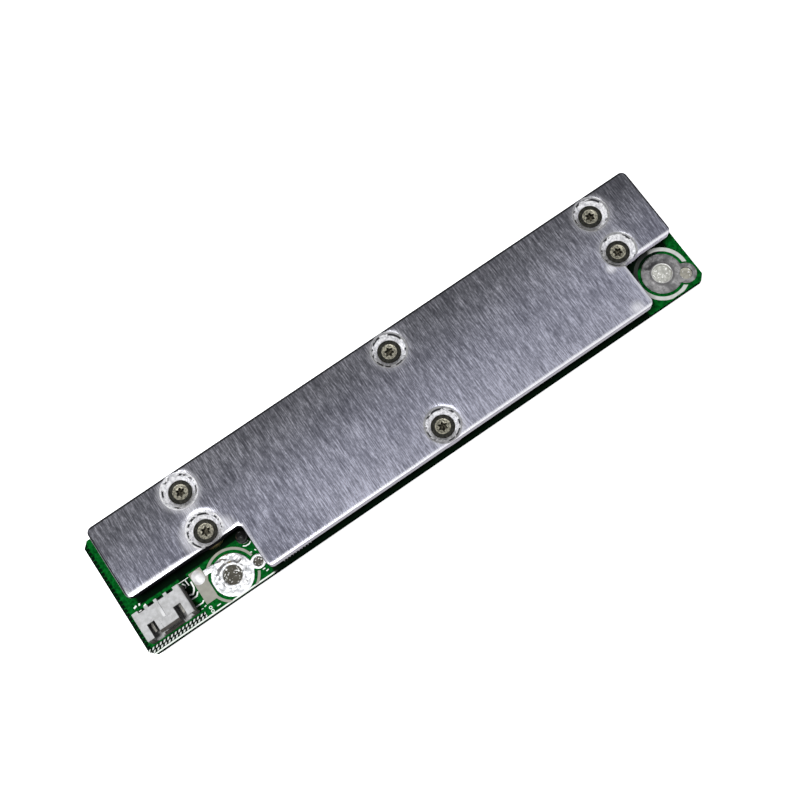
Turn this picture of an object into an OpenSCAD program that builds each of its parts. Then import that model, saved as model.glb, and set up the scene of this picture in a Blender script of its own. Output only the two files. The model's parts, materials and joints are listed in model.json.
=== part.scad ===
// Battery management board: a long circuit board under a notched heat plate.
// Six countersunk screws hold the plate down in pressed dimples, over power
// transistors and gap pads. A side-entry header and two terminals lie in the notches.
// Millimetres. X runs along the board, Y across it, Z up. The nuts stand on z = 0.

/* [Circuit board] */
// Length of the board
board_l = 125; // [122:1:140]
// Width of the board
board_w = 25; // [25:0.5:30]
// Thickness of the board
board_t = 1.6; // [1.2:0.2:2.4]
// Leg of the cut-off corners
board_corner = 1.1; // [0.6:0.1:2]

/* [Heat plate] */
// Thickness of the plate
plate_t = 2; // [1.8:0.1:2.6]
// From the board's left end to the plate's
plate_left = 2.8; // [2:0.1:4]
// From the board's right end to the plate's
plate_right = 1.8; // [1:0.1:3]
// How far the plate's long sides lie inside the board's
plate_inset = 0.1; // [0:0.05:0.3]
// Length of the notch over the header and the left terminal
left_notch_l = 23.8; // [23:0.1:25]
// Length of the notch over the right terminal
right_notch_l = 11.2; // [10.5:0.1:12]
// Depth of both notches
notch_d = 9.6; // [9.2:0.1:9.8]
// Radius of the outer corners
plate_r = 1.2; // [0.8:0.1:2]
// Radius of the notches' inner corners
notch_r = 0.9; // [0.5:0.1:1.5]
// Broken top edge, measured along the plate
edge_run = 0.45; // [0.2:0.05:0.6]

/* [Dimples and screws] */
// Diameter of each countersink at the plate's face
sink_d = 6.8; // [6.4:0.1:7]
// Diameter of the shallow dish round a countersink
dish_d = 8.8; // [8:0.1:9.4]
// Depth of that dish at the countersink
dish_h = 0.12; // [0.05:0.01:0.2]
// Bore under the countersink
through_d = 2.8; // [2.7:0.05:3]
// How far a dimple is pressed out below the plate
boss_h = 0.9; // [0.6:0.1:1.2]
// Width of a pressed dimple at the plate's underside
boss_d = 8; // [7.4:0.1:8.6]
// From the plate's left end to the first column of screws
first_col = 17.9; // [17:0.1:19]
// From the last column of screws to the plate's right end
last_col = 10.3; // [9.8:0.1:11]
// From the plate's long sides to the outer rows of screws
row_in = 3.7; // [3.6:0.05:4]
// From the ring round the left terminal to the spacer behind it
row_clear = 0.75; // [0.6:0.05:1]
// Diameter of the screw thread
screw_d = 2.5; // [2.3:0.1:2.6]
// Diameter of the countersunk head
head_d = 4.5; // [4.3:0.1:5]
// Length of a screw, head included
screw_l = 10; // [9:0.5:10]
// Diameter of the dished middle of the head
cup_d = 3; // [2.8:0.1:3.4]
// Width of the six-lobe drive over its points
drive_d = 2.3; // [2:0.1:2.5]
// Depth of the drive
drive_h = 1; // [0.7:0.1:1.2]
// Outer diameter of the spacers
spacer_d = 5; // [4.6:0.1:5.6]
// Clearance round a screw in a spacer, washer or board
screw_clear = 0.15; // [0.1:0.05:0.25]
// Nut over its flats
nut_w = 5; // [4.8:0.1:5.5]
// Height of a nut
nut_h = 2; // [1.8:0.1:2.4]
// Outer diameter of the insulating washers
washer_d = 6; // [5.4:0.1:6.6]
// Thickness of the insulating washers
washer_t = 1; // [0.6:0.1:1.2]

/* [Header] */
// Number of header pins
pin_count = 4; // [3:1:4]
// Distance between header pins
pin_pitch = 2; // [1.9:0.05:2.1]
// From the outer pin to the header's side
pin_side = 1.95; // [1.8:0.05:2.2]
// Depth of the header, mouth to back
header_d = 5.8; // [5.4:0.1:6.4]
// Height of the header
header_h = 4.8; // [4.6:0.1:5.4]
// Thickness of the header's side walls
header_side = 0.95; // [0.7:0.05:1.1]
// Thickness of the header's top wall
header_top = 0.6; // [0.5:0.05:0.9]
// Thickness of the header's floor
header_floor = 0.8; // [0.6:0.05:1]
// Thickness of the header's back wall, notches included
header_back = 1.6; // [1.4:0.1:2]
// Width of the two latch slots
slot_w = 1.5; // [1.2:0.1:1.7]
// Length of the two latch slots
slot_l = 2.7; // [2:0.1:3]
// Width of the notch behind each pin
back_notch_w = 1.3; // [1:0.1:1.4]
// Depth of the notch behind each pin
back_notch_d = 0.55; // [0.5:0.05:0.7]
// Side of the square pins
pin_w = 0.5; // [0.4:0.05:0.6]
// Height of the pins above the board
pin_z = 2.4; // [2.2:0.1:2.6]
// From the mouth to the pins' tips
pin_recess = 1.2; // [0.8:0.1:1.6]
// Length of the tails under the board
pin_tail = 1.4; // [1.2:0.1:1.6]
// From the board's left end to the header
header_x = 1.55; // [1.3:0.05:2]
// From the board's front edge to the mouth
header_y = 1.75; // [1.4:0.05:2.2]

/* [Terminals] */
// Diameter of the wire hole in a terminal
terminal_bore = 3.6; // [3.2:0.1:4]
// Diameter of the tinned disc
terminal_d = 8.1; // [7.6:0.1:8.2]
// Thickness of the plated lining of a hole
plating = 0.2; // [0.18:0.02:0.26]
// Height of the tinned disc above the board
tin_h = 0.2; // [0.12:0.02:0.3]
// Height of the bare copper rings and lands
land_h = 0.08; // [0.06:0.01:0.12]
// Green gap between a disc and its ring
ring_gap = 0.55; // [0.4:0.05:0.7]
// Width of the ring round the left terminal
left_ring_w = 0.5; // [0.4:0.05:0.7]
// Width of the ring round the right terminal
right_ring_w = 0.75; // [0.5:0.05:0.8]
// From the board's left end to the left terminal
left_term_x = 20.15; // [20:0.05:20.6]
// From the board's front edge to the left terminal
left_term_y = 4.15; // [4.15:0.05:4.5]
// From the board's right end to the right terminal
right_term_x = 6.3; // [6.2:0.05:6.6]
// From the board's front edge to the right terminal
right_term_y = 5.4; // [5.2:0.05:5.8]
// Small wire hole beside the left terminal
left_small_bore = 1.8; // [1.4:0.1:2]
// Small wire hole beside the right terminal
right_small_bore = 2.4; // [2:0.1:2.6]
// From the left terminal to its small hole, along the board
left_small_x = 5.2; // [5.1:0.05:5.3]
// How far that hole lies in front of the terminal
left_small_y = 0.6; // [0.4:0.05:0.8]
// From the right terminal to its small hole, along the board
right_small_x = 3.8; // [3.7:0.05:3.9]
// How far that hole lies in front of the terminal
right_small_y = 2.5; // [2.4:0.05:2.6]
// Rim of solder round the left small hole
left_small_rim = 0.35; // [0.3:0.05:0.5]
// Rim of solder round the right small hole
right_small_rim = 0.7; // [0.5:0.05:0.8]
// Width of the bare land beside the left terminal
side_land_w = 2.5; // [2.4:0.1:2.8]
// Length of that land
side_land_l = 6.6; // [5:0.1:6.8]
// Width of the bridge from the left terminal to the blob
bridge_w = 1.1; // [0.8:0.1:1.4]
// Width of the solder blob on the land
blob_w = 2.3; // [1.6:0.1:2.3]
// Length of the solder blob
blob_l = 2.8; // [2.4:0.1:3]
// Height of the solder blob
blob_h = 0.45; // [0.3:0.05:0.6]

/* [Power transistors] */
// Power transistors in each group
group_n = 3; // [2:1:3]
// Distance between neighbours in a group
mosfet_pitch = 11; // [10.6:0.1:11.4]
// Width of a transistor body
mosfet_w = 10.2; // [9.6:0.1:10.4]
// Length of a transistor body
mosfet_l = 8.8; // [8.2:0.1:9.2]
// Height of a transistor above the board
mosfet_h = 4.4; // [4.4:0.1:4.8]
// Thickness of the metal tab
tab_t = 1.27; // [1:0.05:1.4]
// How far the tab shows behind the body
tab_out = 1.4; // [1:0.1:1.6]
// How far the leads reach out in front
lead_out = 5; // [4.4:0.1:5.2]
// Width of a lead
lead_w = 0.8; // [0.6:0.05:1]
// Thickness of a lead
lead_t = 0.5; // [0.4:0.05:0.6]
// Distance between the leads
lead_pitch = 2.54; // [2.4:0.02:2.7]
// Height at which the leads leave the body
lead_z = 2.3; // [2:0.1:2.6]
// Share of the board's spare width that lies behind the tabs
rear_share = 0.38; // [0.3:0.02:0.44]
// Thickness of the gap pads
gap_pad_t = 0.3; // [0.2:0.05:0.6]
// How far a gap pad lies inside the transistors' outline
gap_pad_in = 0.5; // [0.4:0.1:1]

/* [Small parts] */
// Share of the board's spare width that lies in front of the monitor chip
front_share = 0.24; // [0.2:0.02:0.3]
// Balancing channels
channel_n = 4; // [3:1:4]
// Clearance between neighbours in the row of small parts
part_gap = 0.8; // [0.6:0.1:1]
// Length of the monitor chip
chip_l = 6.5; // [6.2:0.1:7]
// Width of the monitor chip
chip_w = 4.4; // [4:0.1:4.6]
// Height of the monitor chip
chip_h = 1.05; // [0.9:0.05:1.2]
// Legs on each side of the monitor chip
leg_n = 10; // [6:1:10]
// Distance between those legs
leg_pitch = 0.65; // [0.6:0.01:0.65]
// Length of a current shunt
shunt_l = 6.4; // [5.8:0.1:6.6]
// Width of a current shunt
shunt_w = 3.2; // [2.6:0.1:3.4]
// Current shunts
shunt_n = 3; // [1:1:3]
// Diameter of the temperature bead
bead_d = 2.5; // [2.1:0.1:2.8]
// From the left terminal to the bead along the board
bead_x = 5.2; // [5:0.1:5.4]
// From the plate's notch edge to the bead's middle
bead_y = 1.1; // [0.9:0.1:1.3]

/* [Hidden] */
$fn = 48;
eps = 0.01;
cut = 1;
break_out = 0.3;

// Levels, from the nuts up.
board_z = nut_h + washer_t;
top_z = board_z + board_t;
plate_z = top_z + mosfet_h + gap_pad_t;
plate_top = plate_z + plate_t;

// Board edges.
board_x0 = -board_l / 2;
board_x1 = board_l / 2;
front_y = -board_w / 2;
rear_y = board_w / 2;

// Plate outline.
plate_x0 = board_x0 + plate_left;
plate_x1 = board_x1 - plate_right;
plate_y0 = front_y + plate_inset;
plate_y1 = rear_y - plate_inset;
main_x0 = plate_x0 + left_notch_l;
main_x1 = plate_x1 - right_notch_l;
notch_y = plate_y0 + notch_d;

// Screws: two in each outer column, clear of the notches, and two in the middle one.
col_pitch = (plate_x1 - plate_x0 - first_col - last_col) / 2;
cols = [for (i = [0:2]) plate_x0 + first_col + i * col_pitch];
rear_row = plate_y1 - row_in;
front_row = plate_y0 + row_in;
ring_d = terminal_d + 2 * ring_gap;
notch_row = front_y + left_term_y + ring_d / 2 + left_ring_w + row_clear + spacer_d / 2;
screw_xy = [[cols[0], rear_row], [cols[0], notch_row], [cols[1], rear_row],
            [cols[1], front_row], [cols[2], rear_row], [cols[2], notch_row]];
sink_z = plate_top - dish_h;
sink_h = (sink_d - through_d) / 2;
head_z = sink_z - (sink_d - head_d) / 2;
head_h = (head_d - screw_d) / 2;
cup_h = 0.25;
screw_hole_d = screw_d + 2 * screw_clear;
boss_foot_d = boss_d - 2 * boss_h;

// Header: mouth towards the front, middle of the pins at header_cx.
header_w = (pin_count - 1) * pin_pitch + 2 * pin_side;
header_cx = board_x0 + header_x + header_w / 2;
mouth_y = front_y + header_y;
pin_xs = [for (i = [0:pin_count - 1]) header_cx + (i - (pin_count - 1) / 2) * pin_pitch];
leg_y = mouth_y + header_d - back_notch_d + pin_w / 2;
pin_hole_d = 1.75 * pin_w;

// Terminals and their small holes.
left_term = [board_x0 + left_term_x, front_y + left_term_y];
right_term = [board_x1 - right_term_x, front_y + right_term_y];
left_small = left_term + [left_small_x, -left_small_y];
right_small = right_term + [right_small_x, -right_small_y];
lining_d = terminal_bore + 2 * plating;
left_lining_d = left_small_bore + 2 * plating;
right_lining_d = right_small_bore + 2 * plating;
land_lap = 0.3;
land_reach = 1.9;
side_land_x = left_term[0] - ring_d / 2 - side_land_w + land_lap;
side_land_y = left_term[1] - land_reach;
blob_in = 0.1;
bridge_y = side_land_y + side_land_l - blob_in - blob_l / 2;

// Width of the board that neither the transistors nor the monitor chip need.
leg_out = 1;
chip_depth = chip_w + 2 * leg_out;
spare_w = board_w - chip_depth - tab_out - mosfet_l - lead_out;

// Power transistors, in a group on each side of the middle column.
group_xs = [(cols[0] + cols[1]) / 2, (cols[1] + cols[2]) / 2];
mosfet_xs = [for (g = group_xs, i = [0:group_n - 1])
    g + (i - (group_n - 1) / 2) * mosfet_pitch];
body_y1 = rear_y - rear_share * spare_w - tab_out;
body_y0 = body_y1 - mosfet_l;
lead_in = 1;

// The row of small parts along the front edge: the chip and its channels to the left of
// the middle screws, the shunts and the surge diode to the right.
small_y = front_y + front_share * spare_w + chip_depth / 2;
chip_x = main_x0 + 3 * part_gap + chip_l / 2;
bleed_l = 3.2;
channel_x0 = chip_x + chip_l / 2 + 1.5 * part_gap;
channel_x1 = cols[1] - spacer_d / 2 - part_gap;
channel_pitch = (channel_x1 - channel_x0) / channel_n;
channel_xs = [for (i = [0:channel_n - 1]) channel_x0 + bleed_l / 2 + i * channel_pitch];
shunt_xs = [for (i = [0:shunt_n - 1])
    cols[1] + spacer_d / 2 + 1.5 * part_gap + shunt_l / 2 + i * (shunt_l + part_gap)];
diode_x = main_x1 - 5.5 * part_gap;

// Temperature bead: under the corner of the left notch.
bead_at = [left_term[0] + bead_x, notch_y - bead_y];
bead_leg_gap = 1.6;
bead_leg_d = 0.45;
bead_up = 2.1;
bead_hole_d = 0.8;
bead_legs = [for (s = [-1, 1]) bead_at + [s * bead_leg_gap / 2, 0]];

// ---------- shared shapes ----------

// A rectangle from [x0, y0] to [x1, y1] with round corners.
module round_rect(x0, y0, x1, y1, r) {
    translate([x0 + r, y0]) square([x1 - x0 - 2 * r, y1 - y0]);
    translate([x0, y0 + r]) square([x1 - x0, y1 - y0 - 2 * r]);
    for (x = [x0 + r, x1 - r], y = [y0 + r, y1 - r]) translate([x, y]) circle(r);
}

// The corner left over outside a round of radius r, in the quadrant of its centre's -x, -y.
module inner_fillet(at, r, sx) {
    translate(at) mirror([sx < 0 ? 1 : 0, 0]) difference() {
        translate([-r, -r]) square(r + eps);
        translate([-r, -r]) circle(r);
    }
}

// A moulded body: sides lean in by draft above and below the parting line at part_z.
module moulded(l, w, z0, h, part_z, draft) {
    intersection() {
        translate([0, w / 2, 0]) rotate([90, 0, 0])
            linear_extrude(w) side_profile(l, z0, h, part_z, draft);
        translate([-l / 2, 0, 0]) rotate([90, 0, 90])
            linear_extrude(l) side_profile(w, z0, h, part_z, draft);
    }
}

module side_profile(w, z0, h, part_z, draft) {
    low = draft * (part_z - z0) / (h - part_z);
    polygon([[-w / 2 + low, z0], [w / 2 - low, z0], [w / 2, part_z],
             [w / 2 - draft, h], [-w / 2 + draft, h], [-w / 2, part_z]]);
}

// A bent lead seen from the side: in from the origin, out at height z, foot on the board.
module gull_profile(inside, out, z, t, knee, foot) {
    polygon([[-inside, z], [knee - t, z], [out - foot - t / 3, 0], [out, 0], [out, t],
             [out - foot + t / 3, t], [knee, z + t], [-inside, z + t]]);
}

module gull_lead(w, inside, out, z, t, knee, foot) {
    translate([-w / 2, 0, 0]) rotate([90, 0, 90])
        linear_extrude(w) gull_profile(inside, out, z, t, knee, foot);
}

// A ceramic chip along X: metal ends stand a little proud of the body.
module chip_part(l, w, h, end_l) {
    lip = 0.04;
    translate([-l / 2 + end_l, -w / 2 + lip, lip])
        cube([l - 2 * end_l, w - 2 * lip, h - 2 * lip]);
    for (s = [0, 1]) mirror([s, 0, 0])
        translate([-l / 2, -w / 2, 0]) cube([end_l, w, h]);
}

module at_screws() {
    for (p = screw_xy) translate([p[0], p[1], 0]) children();
}

// ---------- circuit board ----------

module board_outline(inset = 0) {
    x = board_l / 2 - inset;
    y = board_w / 2 - inset;
    c = board_corner;
    polygon([[-x + c, -y], [x - c, -y], [x, -y + c], [x, y - c],
             [x - c, y], [-x + c, y], [-x, y - c], [-x, -y + c]]);
}

module circuit_board() {
    color([0.03, 0.38, 0.12])
    translate([0, 0, board_z]) linear_extrude(board_t) difference() {
        board_outline();
        for (p = screw_xy) translate(p) circle(d = screw_hole_d);
        for (p = [left_term, right_term]) translate(p) circle(d = lining_d);
        translate(left_small) circle(d = left_lining_d);
        translate(right_small) circle(d = right_lining_d);
        for (x = pin_xs) translate([x, leg_y]) circle(d = pin_hole_d);
        for (p = bead_legs) translate(p) circle(d = bead_hole_d);
    }
}

// ---------- heat plate ----------

module plate_outline() {
    round_rect(plate_x0, notch_y, plate_x1, plate_y1, plate_r);
    round_rect(main_x0, plate_y0, main_x1, plate_y1, plate_r);
    inner_fillet([main_x0, notch_y], notch_r, 1);
    inner_fillet([main_x1, notch_y], notch_r, -1);
}

// Wedge that breaks one straight top edge; the edge runs along +X from the origin
// and the plate lies on its +Y side.
module straight_break(l) {
    rotate([90, 0, 90]) linear_extrude(l) polygon([[-break_out, -edge_run - break_out],
        [edge_run + break_out, break_out], [-break_out, break_out]]);
}

// The same wedge round a corner of radius r whose centre is the origin, over 90 degrees.
// The plate lies inside an outer corner's round, and outside a notch's.
module corner_break(r, outer) {
    side = outer ? 1 : -1;
    rotate_extrude(angle = 90) polygon([
        [r + side * break_out, -edge_run - break_out],
        [r - side * (edge_run + break_out), break_out],
        [r + side * break_out, break_out]]);
}

// Straight stretches as [x, y, direction, length], with the plate on the left.
function straights() = [
    [main_x0 + plate_r, plate_y0, 0, main_x1 - main_x0 - 2 * plate_r],
    [main_x1, plate_y0 + plate_r, 90, notch_d - plate_r - notch_r],
    [main_x1 + notch_r, notch_y, 0, right_notch_l - plate_r - notch_r],
    [plate_x1, notch_y + plate_r, 90, plate_y1 - notch_y - 2 * plate_r],
    [plate_x1 - plate_r, plate_y1, 180, plate_x1 - plate_x0 - 2 * plate_r],
    [plate_x0, plate_y1 - plate_r, 270, plate_y1 - notch_y - 2 * plate_r],
    [plate_x0 + plate_r, notch_y, 0, left_notch_l - plate_r - notch_r],
    [main_x0, notch_y - notch_r, 270, notch_d - plate_r - notch_r]];

// Corners as [centre x, centre y, start angle, radius, outer].
function corners() = [
    [main_x0 + plate_r, plate_y0 + plate_r, 180, plate_r, true],
    [main_x1 - plate_r, plate_y0 + plate_r, 270, plate_r, true],
    [main_x1 + notch_r, notch_y - notch_r, 90, notch_r, false],
    [plate_x1 - plate_r, notch_y + plate_r, 270, plate_r, true],
    [plate_x1 - plate_r, plate_y1 - plate_r, 0, plate_r, true],
    [plate_x0 + plate_r, plate_y1 - plate_r, 90, plate_r, true],
    [plate_x0 + plate_r, notch_y + plate_r, 180, plate_r, true],
    [main_x0 - notch_r, notch_y - notch_r, 0, notch_r, false]];

// A pressed dimple's hole: shallow dish, countersink and bore, from the plate's face down.
module dimple_hole() {
    dish_slope = (dish_d - sink_d) / 2 / dish_h;
    rotate_extrude() polygon([
        [0, plate_z - boss_h - cut], [through_d / 2, plate_z - boss_h - cut],
        [through_d / 2, sink_z - sink_h], [sink_d / 2, sink_z],
        [dish_d / 2 + cut * dish_slope, plate_top + cut], [0, plate_top + cut]]);
}

module heat_plate() {
    color([0.62, 0.63, 0.68])
    difference() {
        intersection() {
            union() {
                translate([0, 0, plate_z]) linear_extrude(plate_t) plate_outline();
                at_screws() translate([0, 0, plate_z - boss_h])
                    cylinder(d1 = boss_foot_d, d2 = boss_d, h = boss_h);
            }
            translate([0, 0, plate_z - boss_h])
                linear_extrude(boss_h + plate_t) plate_outline();
        }
        at_screws() dimple_hole();
        for (s = straights()) translate([s[0], s[1], plate_top])
            rotate([0, 0, s[2]]) straight_break(s[3]);
        for (c = corners()) translate([c[0], c[1], plate_top])
            rotate([0, 0, c[2]]) corner_break(c[3], c[4]);
    }
}

// ---------- fasteners ----------

// Six-lobe drive: a round middle and six round lobes.
module six_lobe() {
    lobe_d = 0.26 * drive_d;
    circle(d = 0.74 * drive_d);
    for (a = [0:60:300]) rotate(a) translate([(drive_d - lobe_d) / 2, 0]) circle(d = lobe_d);
}

module plate_screws() {
    color([0.66, 0.62, 0.52])
    at_screws() difference() {
        union() {
            translate([0, 0, head_z - head_h]) cylinder(d1 = screw_d, d2 = head_d, h = head_h);
            translate([0, 0, head_z - screw_l]) cylinder(d = screw_d, h = screw_l - head_h);
        }
        translate([0, 0, head_z - cup_h])
            cylinder(d1 = cup_d - 2 * cup_h, d2 = cup_d + 2 * cut, h = cup_h + cut);
        translate([0, 0, head_z - cup_h - drive_h]) linear_extrude(drive_h + cut) six_lobe();
    }
}

module plate_nuts() {
    color([0.7, 0.7, 0.7])
    at_screws() difference() {
        cylinder(d = nut_w / cos(30), h = nut_h, $fn = 6);
        translate([0, 0, -cut]) cylinder(d = screw_d, h = nut_h + 2 * cut);
    }
}

module insulating_washers() {
    color([0.45, 0.13, 0.08])
    at_screws() translate([0, 0, nut_h]) ring(washer_d, screw_hole_d, washer_t);
}

module plate_spacers() {
    color([0.75, 0.63, 0.33])
    at_screws() translate([0, 0, top_z])
        ring(spacer_d, screw_hole_d, plate_z - boss_h - top_z);
}

module ring(d, bore, h) {
    linear_extrude(h) difference() {
        circle(d = d);
        circle(d = bore);
    }
}

// ---------- header ----------

// The header in its own place: y = 0 at the mouth, z = 0 on the board, x = 0 mid-way.
module header_shell() {
    color([0.78, 0.79, 0.8])
    translate([header_cx, mouth_y, top_z]) difference() {
        union() {
            header_block();
            header_rib();
        }
        header_cavity();
        latch_slots();
        latch_panel();
        back_notches();
        for (x = pin_xs) translate([x - header_cx - pin_w / 2, 0, pin_z - pin_w / 2])
            cube([pin_w, header_d + cut, pin_w]);
    }
}

module header_block() {
    c = 0.2;
    w = header_w / 2;
    translate([0, header_d, 0]) rotate([90, 0, 0]) linear_extrude(header_d)
        polygon([[-w, 0], [w, 0], [w, header_h - c], [w - c, header_h],
                 [-w + c, header_h], [-w, header_h - c]]);
}

// Low rib along the middle of the top wall.
module header_rib() {
    rib_w = 0.6;
    rib_h = 0.2;
    rib_l = 0.62 * header_d;
    translate([-rib_w / 2, header_d - rib_l, header_h]) cube([rib_w, rib_l, rib_h]);
}

// Mouth with a flared rim and two guide ribs left standing on the floor.
module header_cavity() {
    w = header_w / 2 - header_side;
    z0 = header_floor;
    z1 = header_h - header_top;
    depth = header_d - header_back;
    flare = 0.25;
    guide_w = 0.5;
    guide_h = 0.35;
    difference() {
        translate([-w, -cut, z0]) cube([2 * w, depth + cut, z1 - z0]);
        for (s = [-1, 1]) translate([s * pin_pitch - guide_w / 2, flare, z0 - cut])
            cube([guide_w, depth, guide_h + cut]);
    }
    // The flare leans the four inner edges of the rim outwards.
    rotate([90, 0, 90]) translate([0, 0, -w]) linear_extrude(2 * w)
        polygon([[-cut, z0 - flare - cut], [flare, z0], [flare, z1], [-cut, z1 + flare + cut]]);
    translate([0, 0, z0]) linear_extrude(z1 - z0)
        polygon([[-w - flare - cut, -cut], [-w, flare], [w, flare], [w + flare + cut, -cut]]);
}

// Two slots in the top wall, open at the mouth, near the outer pins.
module latch_slots() {
    x = (pin_count - 1) * pin_pitch / 2 - 0.25;
    for (s = [-1, 1]) translate([s * x - slot_w / 2, -cut, header_h - header_top - cut])
        cube([slot_w, slot_l + cut, header_top + 2 * cut]);
}

// Shallow step in the top wall between the slots.
module latch_panel() {
    step = 0.1;
    w = (pin_count - 1) * pin_pitch - slot_w - 2.1;
    translate([-w / 2, -cut, header_h - step]) cube([w, 0.75 * slot_l + cut, step + cut]);
}

module back_notches() {
    for (x = pin_xs) translate([x - header_cx - back_notch_w / 2, header_d - back_notch_d, -cut])
        cube([back_notch_w, back_notch_d + cut, header_h + 2 * cut]);
}

// A square wire bent down behind the header, with pointed ends.
module header_pin(x) {
    point = 0.35;
    h = pin_w / 2;
    y0 = mouth_y + pin_recess;
    z = top_z + pin_z;
    low = board_z - pin_tail;
    color([0.8, 0.78, 0.72])
    translate([x - h, 0, 0]) rotate([90, 0, 90]) linear_extrude(pin_w)
        polygon([[y0, z - h / 2], [y0 + point, z - h], [leg_y - h, z - h],
                 [leg_y - h, low + point], [leg_y - h / 2, low], [leg_y + h / 2, low],
                 [leg_y + h, low + point], [leg_y + h, z + h - point], [leg_y + h - point, z + h],
                 [y0 + point, z + h], [y0, z + h / 2]]);
}

// Solder in each plated hole, with a cone under the board, round pin tails and bead legs.
module solder_joints() {
    color([0.75, 0.76, 0.78]) {
        for (x = pin_xs) translate([x, leg_y, 0]) difference() {
            joint(pin_hole_d, pin_tail / 2);
            translate([-pin_w / 2, -pin_w / 2, 0]) cube([pin_w, pin_w, top_z + cut]);
        }
        for (p = bead_legs) translate([p[0], p[1], 0]) difference() {
            joint(bead_hole_d, pin_tail / 2);
            cylinder(d = bead_leg_d, h = top_z + cut);
        }
    }
}

module joint(hole_d, h) {
    translate([0, 0, board_z]) cylinder(d = hole_d, h = board_t);
    translate([0, 0, board_z - h]) cylinder(d1 = hole_d, d2 = hole_d + 0.6, h = h);
}

// ---------- terminals ----------

// Tinned face of a terminal: disc, small rim and the neck between them.
module terminal_face(small, rim_d, neck_w) {
    circle(d = terminal_d);
    translate(small) circle(d = rim_d);
    rotate(atan2(small[1], small[0])) translate([0, -neck_w / 2]) square([norm(small), neck_w]);
}

// Face above, lined holes through the board and a thin tinned ring below.
module terminal(at, small, small_bore, rim, bridge = 0) {
    under = tin_h / 2;
    rim_d = small_bore + 2 * plating + 2 * rim;
    difference() {
        translate([at[0], at[1], 0]) {
            translate([0, 0, top_z]) linear_extrude(tin_h)
                terminal_face(small, rim_d, 0.6 * rim_d);
            translate([0, 0, board_z]) cylinder(d = lining_d, h = board_t + eps);
            translate([0, 0, board_z - under])
                cylinder(d = terminal_d - 2 * ring_gap, h = under);
            translate([small[0], small[1], board_z])
                cylinder(d = small_bore + 2 * plating, h = board_t + eps);
            if (bridge > 0) translate([-bridge, bridge_y - at[1] - bridge_w / 2, top_z])
                cube([bridge - terminal_d / 4, bridge_w, tin_h]);
        }
        translate([at[0], at[1], board_z - cut]) cylinder(d = terminal_bore, h = board_t + 3 * cut);
        translate([at[0] + small[0], at[1] + small[1], board_z - cut])
            cylinder(d = small_bore, h = board_t + 3 * cut);
    }
}

module terminal_left() {
    color([0.86, 0.87, 0.9])
    terminal(left_term, left_small - left_term, left_small_bore, left_small_rim,
             left_term[0] - side_land_x - side_land_w);
}

module terminal_right() {
    color([0.7, 0.7, 0.74])
    terminal(right_term, right_small - right_term, right_small_bore, right_small_rim);
}

// Bare copper ring round a terminal, kept inside the board and clear of the small rim.
module land_ring(at, w, small, small_rim_d) {
    difference() {
        translate(at) circle(d = ring_d + 2 * w);
        translate(at) circle(d = ring_d);
        translate(small) circle(d = small_rim_d + ring_gap);
    }
}

module land_left() {
    color([0.6, 0.58, 0.55])
    translate([0, 0, top_z]) linear_extrude(land_h) difference() {
        intersection() {
            union() {
                land_ring(left_term, left_ring_w, left_small,
                          left_lining_d + 2 * left_small_rim);
                translate([side_land_x, side_land_y]) square([side_land_w, side_land_l]);
            }
            board_outline(0.2);
        }
        translate([side_land_x + side_land_w, bridge_y - bridge_w / 2])
            square([ring_d / 2, bridge_w]);
    }
}

module land_right() {
    color([0.75, 0.74, 0.72])
    translate([0, 0, top_z]) linear_extrude(land_h) intersection() {
        land_ring(right_term, right_ring_w, right_small, right_lining_d + 2 * right_small_rim);
        board_outline(0.2);
    }
}

// Solder blob on the bare land: a low cap drawn out along Y, level with the bridge.
module solder_blob() {
    r = (blob_w * blob_w / 4 + blob_h * blob_h) / (2 * blob_h);
    middle = blob_l - blob_w;
    color([0.9, 0.9, 0.92])
    translate([side_land_x + side_land_w / 2, bridge_y, top_z + land_h]) {
        rotate([90, 0, 0]) linear_extrude(middle, center = true) intersection() {
            translate([0, blob_h - r]) circle(r);
            translate([-r, 0]) square([2 * r, 2 * blob_h]);
        }
        for (s = [0, 1]) mirror([0, s, 0]) translate([0, middle / 2, 0]) intersection() {
            translate([0, 0, blob_h - r]) sphere(r);
            translate([-r, 0, 0]) cube([2 * r, 2 * r, 2 * blob_h]);
        }
    }
}

// ---------- power transistors ----------

module mosfet_leads() {
    for (s = [-1, 1]) translate([s * lead_pitch, body_y0, 0]) mirror([0, 1, 0])
        gull_lead(lead_w, lead_in, lead_out, lead_z, lead_t, 1.6, 1.7);
    translate([-lead_w / 2, body_y0 - 1, lead_z]) cube([lead_w, 1 + lead_in, lead_t]);
}

// Tab: narrow under the body, wide with cut corners where it shows.
module mosfet_tab() {
    w = mosfet_w / 2 - 0.3;
    n = w - 0.8;
    c = 0.8;
    linear_extrude(tab_t) polygon([
        [-n, body_y0 + 1.2], [n, body_y0 + 1.2], [n, body_y1], [w, body_y1],
        [w, body_y1 + tab_out - c], [w - c, body_y1 + tab_out],
        [-w + c, body_y1 + tab_out], [-w, body_y1 + tab_out - c], [-w, body_y1], [-n, body_y1]]);
}

module mosfet_frame(x) {
    color([0.72, 0.72, 0.74])
    translate([x, 0, top_z]) {
        mosfet_tab();
        mosfet_leads();
    }
}

module mosfet_body(x) {
    color([0.1, 0.1, 0.11])
    translate([x, 0, top_z]) difference() {
        translate([0, (body_y0 + body_y1) / 2, 0])
            moulded(mosfet_w, mosfet_l, 0.1, mosfet_h, lead_z, 0.3);
        mosfet_tab();
        mosfet_leads();
    }
}

module gap_pad(x) {
    w = (group_n - 1) * mosfet_pitch + mosfet_w - 2 * gap_pad_in;
    color([0.55, 0.6, 0.66])
    translate([x - w / 2, body_y0 + gap_pad_in, top_z + mosfet_h])
        cube([w, mosfet_l - 2 * gap_pad_in, gap_pad_t]);
}

// ---------- small parts ----------

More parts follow.
